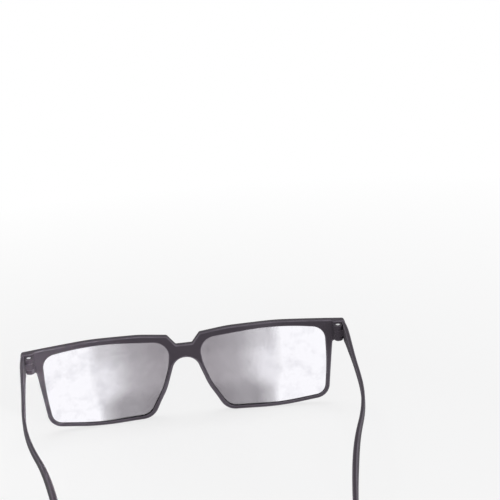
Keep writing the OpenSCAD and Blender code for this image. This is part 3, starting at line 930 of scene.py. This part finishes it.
def evaporated_mirror():
    """Aluminium evaporated onto the sheet through a soft mask: a bright mirror that fades out at its edge.
    Faint wiping marks cloud its gloss."""
    material, tree = new_material("evaporated_aluminium")
    place = add(tree, "TexCoord").outputs["Object"]
    wiped = add(tree, "TexNoise", {"Vector": place, "Scale": 1 / (WIPING_SIZE * MM), "Detail": 4,
                                   "Roughness": 0.6})
    cloud = add(tree, "MapRange", {"Value": wiped.outputs["Fac"], "From Min": 0.3, "From Max": 0.52})
    tone = add(tree, "Mix", {0: cloud.outputs[0], 6: colour(COAT_WIPED), 7: colour(COAT_CLEAN)},
               data_type="RGBA")
    gloss = add(tree, "MapRange", {"Value": wiped.outputs["Fac"], "From Min": 0.35, "From Max": 0.7,
                                   "To Min": 0.05, "To Max": 0.16})
    coat = add(tree, "Attribute", attribute_name="coat").outputs["Fac"]
    shader = add(tree, "BsdfPrincipled", {
        "Base Color": tone.outputs[2], "Metallic": 1.0, "Roughness": gloss.outputs[0], "Alpha": coat,
    })
    add(tree, "OutputMaterial", {"Surface": shader.outputs[0]})
    return material


def plated_steel():
    """Steel, turned and nickel plated: bright and faintly uneven, with painted shade round its head's edge,
    where it sits in its recess; the painted shade also dulls the highlight there.
    The painted shade deepens with the distance from the hinge's axis, and a noise frays its edge."""
    material, tree = new_material("nickel_plated_steel")
    place = add(tree, "TexCoord").outputs["Object"]
    uneven = add(tree, "TexNoise", {"Vector": place, "Scale": 1 / (PLATING_SIZE * MM), "Detail": 2})
    tone = add(tree, "Mix", {0: uneven.outputs["Fac"], 6: colour(PLATING_DULL), 7: colour(PLATING_BRIGHT)},
               data_type="RGBA")
    across = add(tree, "VectorMath", {0: place}, operation="ABSOLUTE")
    off_axis = add(tree, "VectorMath", {0: across.outputs[0], 1: (HINGE_X * MM, HINGE_Y * MM, 0)},
                   operation="SUBTRACT")
    flat = add(tree, "VectorMath", {0: off_axis.outputs[0], 1: (1, 1, 0)}, operation="MULTIPLY")
    away = add(tree, "VectorMath", {0: flat.outputs[0]}, operation="LENGTH")
    patchy = add(tree, "TexNoise", {"Vector": place, "Scale": 1 / (PATCH_SIZE * MM), "Detail": 4})
    ragged = add(tree, "Math", {0: patchy.outputs["Fac"], 1: HEAD_SHADE_RAGGED * MM, 2: away.outputs["Value"]},
                 operation="MULTIPLY_ADD")
    edge = add(tree, "MapRange", {"Value": ragged.outputs[0],
                                  "From Min": (HEAD_SHADE_FROM_R + HEAD_SHADE_RAGGED / 2) * MM,
                                  "From Max": (HEAD_SHADE_FULL_R + HEAD_SHADE_RAGGED / 2) * MM})
    height = add(tree, "SeparateXYZ", {0: place}).outputs["Z"]
    head = add(tree, "Math", {0: height, 1: HINGE_Z * MM}, operation="GREATER_THAN")
    # Painted shade: the head's edge is made dark and dull where it sits in its recess
    head_shade = add(tree, "Math", {0: edge.outputs[0], 1: head.outputs[0]}, operation="MULTIPLY")
    base = add(tree, "Mix", {0: head_shade.outputs[0], 6: tone.outputs[2], 7: colour(HEAD_SHADE_COLOUR)},
               data_type="RGBA")
    metal = add(tree, "Math", {0: 1.0, 1: head_shade.outputs[0]}, operation="SUBTRACT")
    gloss = add(tree, "MapRange", {"Value": head_shade.outputs[0], "To Min": 0.22, "To Max": 0.6})
    bump = add(tree, "Bump", {"Height": uneven.outputs["Fac"], "Strength": 0.2, "Distance": 0.02 * MM})
    shader = add(tree, "BsdfPrincipled", {
        "Base Color": base.outputs[2], "Metallic": metal.outputs[0], "Roughness": gloss.outputs[0],
        "Normal": bump.outputs[0],
    })
    add(tree, "OutputMaterial", {"Surface": shader.outputs[0]})
    return material


def studio_floor():
    """Matt white paper sweep. Mirrors and clear sheets show it evenly white.
    To the camera it is partly its own white, so that its shadow stays pale, and further off wholly so."""
    material, tree = new_material("paper_sweep")
    paper = add(tree, "BsdfDiffuse", {"Color": colour(PAPER_COLOUR)})
    white = add(tree, "Emission", {"Color": (1, 1, 1, 1), "Strength": 1.0})
    place = add(tree, "TexCoord").outputs["Object"]
    away = add(tree, "VectorMath", {0: place}, operation="LENGTH")
    own = add(tree, "MapRange", {"Value": away.outputs["Value"], "From Min": 0.14, "From Max": 0.5,
                                 "To Min": 0.72, "To Max": 1.0})
    ray = add(tree, "LightPath")
    direct = add(tree, "Math", {0: ray.outputs["Is Camera Ray"], 1: own.outputs[0]}, operation="MULTIPLY")
    seen = add(tree, "Math", {0: direct.outputs[0], 1: ray.outputs["Is Glossy Ray"]}, operation="MAXIMUM")
    seen = add(tree, "Math", {0: seen.outputs[0], 1: ray.outputs["Is Transmission Ray"]}, operation="MAXIMUM")
    shader = add(tree, "MixShader", {0: seen.outputs[0], 1: paper.outputs[0], 2: white.outputs[0]})
    add(tree, "OutputMaterial", {"Surface": shader.outputs[0]})
    return material


def make_stage():
    """Floor and world. The world lights the object evenly, and is plain white where it is seen."""
    mesh = bpy.data.meshes.new("floor")
    reach = 4.0
    under = -0.00005
    corners = [(-reach, -reach), (reach, -reach), (reach, reach), (-reach, reach)]
    mesh.from_pydata([(x, y, under) for x, y in corners], [], [(0, 1, 2, 3)])
    floor = bpy.data.objects.new("floor", mesh)
    bpy.context.scene.collection.objects.link(floor)
    mesh.materials.append(studio_floor())

    world = bpy.data.worlds.new("studio")
    bpy.context.scene.world = world
    world.use_nodes = True
    tree = world.node_tree
    tree.nodes.clear()
    ray = add(tree, "LightPath")
    seen = add(tree, "Math", {0: ray.outputs["Is Camera Ray"], 1: ray.outputs["Is Glossy Ray"]},
               operation="MAXIMUM")
    seen = add(tree, "Math", {0: seen.outputs[0], 1: ray.outputs["Is Transmission Ray"]}, operation="MAXIMUM")
    strength = add(tree, "MapRange", {"Value": seen.outputs[0], "To Min": 0.35, "To Max": 1.0})
    sky = add(tree, "Background", {"Color": (1, 1, 1, 1), "Strength": strength.outputs[0]})
    add(tree, "OutputWorld", {"Surface": sky.outputs[0]})


def softbox(name, place, aim, size, power, spread=180):
    """Square lamp at a place, turned towards its aim. A grid over it narrows its spread, in degrees.
    The mirrors don't show it, so they look evenly white from every side."""
    lamp = bpy.data.lights.new(name, "AREA")
    lamp.size = size
    lamp.energy = power
    lamp.spread = math.radians(spread)
    holder = bpy.data.objects.new(name, lamp)
    bpy.context.scene.collection.objects.link(holder)
    holder.visible_glossy = False
    holder.location = place
    holder.rotation_euler = (Vector(aim) - Vector(place)).to_track_quat("-Z", "Y").to_euler()


def make_lights():
    """A low lamp straight behind the wearer, which reaches into the hinges, two from the right, one overhead,
    and a weak gridded one that lifts the left end of the front. Places and sizes are in metres."""
    middle = (0, 0.03, 0.02)
    softbox("behind", (0, -0.85, 0.21), middle, size=0.4, power=3.5)
    softbox("right", (0.5, -0.69, 0.21), middle, size=0.4, power=1.1)
    softbox("side", (0.84, 0.1, 0.33), middle, size=0.4, power=1.4)
    softbox("top", (0, 0.26, 0.89), middle, size=0.5, power=2.0)
    softbox("left end", (0.25, -0.5, 0.13), (-0.1, 0.05, 0.045), size=0.06, power=0.048, spread=10)


# Camera, as fitted to the photograph: where its axis points, its direction and its roll
AXIS_POINT = np.array([32.81, MID_Y, 72.73])
CAMERA_DISTANCE = 689.56
CAMERA_AZIMUTH = math.radians(4.310)
CAMERA_ELEVATION = math.radians(16.032)
CAMERA_ROLL = math.radians(4.812)
PIXELS_PER_RADIAN = 1575
PICTURE_W = 500


def make_camera():
    data = bpy.data.cameras.new("camera")
    data.sensor_width = 36
    data.lens = data.sensor_width * PIXELS_PER_RADIAN / PICTURE_W
    data.clip_start = 0.01
    data.clip_end = 20
    camera = bpy.data.objects.new("camera", data)
    bpy.context.scene.collection.objects.link(camera)
    a, e = CAMERA_AZIMUTH, CAMERA_ELEVATION
    view = np.array([math.sin(a) * math.cos(e), math.cos(a) * math.cos(e), -math.sin(e)])
    level = np.array([math.cos(a), -math.sin(a), 0])
    upright = np.cross(level, view)
    c, s = math.cos(CAMERA_ROLL), math.sin(CAMERA_ROLL)
    right = c * level - s * upright
    up = s * level + c * upright
    place = (AXIS_POINT - CAMERA_DISTANCE * view) * MM
    turned = Matrix(np.stack([right, up, -view], -1).tolist()).to_4x4()
    camera.matrix_world = Matrix.Translation(place.tolist()) @ turned
    bpy.context.scene.camera = camera


plastic = moulded_abs()
smoke = smoked_sheet()
mirror = evaporated_mirror()
steel = plated_steel()

stack = KNUCKLE_H + 2 * (AXIAL_GAP + LUG_H)
half = within(front_half(), "front_frame")
lug_reach = BLOCK_Y - HINGE_Y + LUG_ROOT
right_side = [
    half,
    hinge_plate(HINGE_Z - stack / 2, HINGE_Z - stack / 2 + LUG_H, lug_reach, (0, 1)),
    hinge_plate(HINGE_Z + stack / 2 - LUG_H, HINGE_Z + stack / 2, lug_reach, (0, 1), HEAD_HOLE_D),
]
make_piece(
    "front_moulding", right_side + [mirrored(p) for p in right_side],
    "front", plastic, "front_frame",
)

lens = lens_sheet()
coat = mirror_coat()
arm = within(temple_arm(), "right_temple")
knuckle_reach = HALF_W - THICKNESSES[0] + RELIEF_D + KNUCKLE_ROOT - HINGE_X
knuckle = hinge_plate(HINGE_Z - KNUCKLE_H / 2, HINGE_Z + KNUCKLE_H / 2, knuckle_reach, (1, 0))
for side, turn in (("right", lambda p: p), ("left", mirrored)):
    make_piece(f"{side}_lens_sheet", [turn(lens)], "front", smoke, f"{side}_lens")
    make_piece(f"{side}_mirror_coat", [turn(coat)], "front", mirror, f"{side}_mirror_film")
    make_piece(
        f"{side}_temple_moulding", [turn(arm), turn(knuckle)],
        f"{side}_arm", plastic, f"{side}_temple",
    )
    screw = frame["nodes"][f"{side}_hinge_screw"]
    screw.data.materials.clear()
    screw.data.materials.append(steel)

make_stage()
make_lights()
make_camera()
bpy.context.scene.view_settings.view_transform = "Standard"
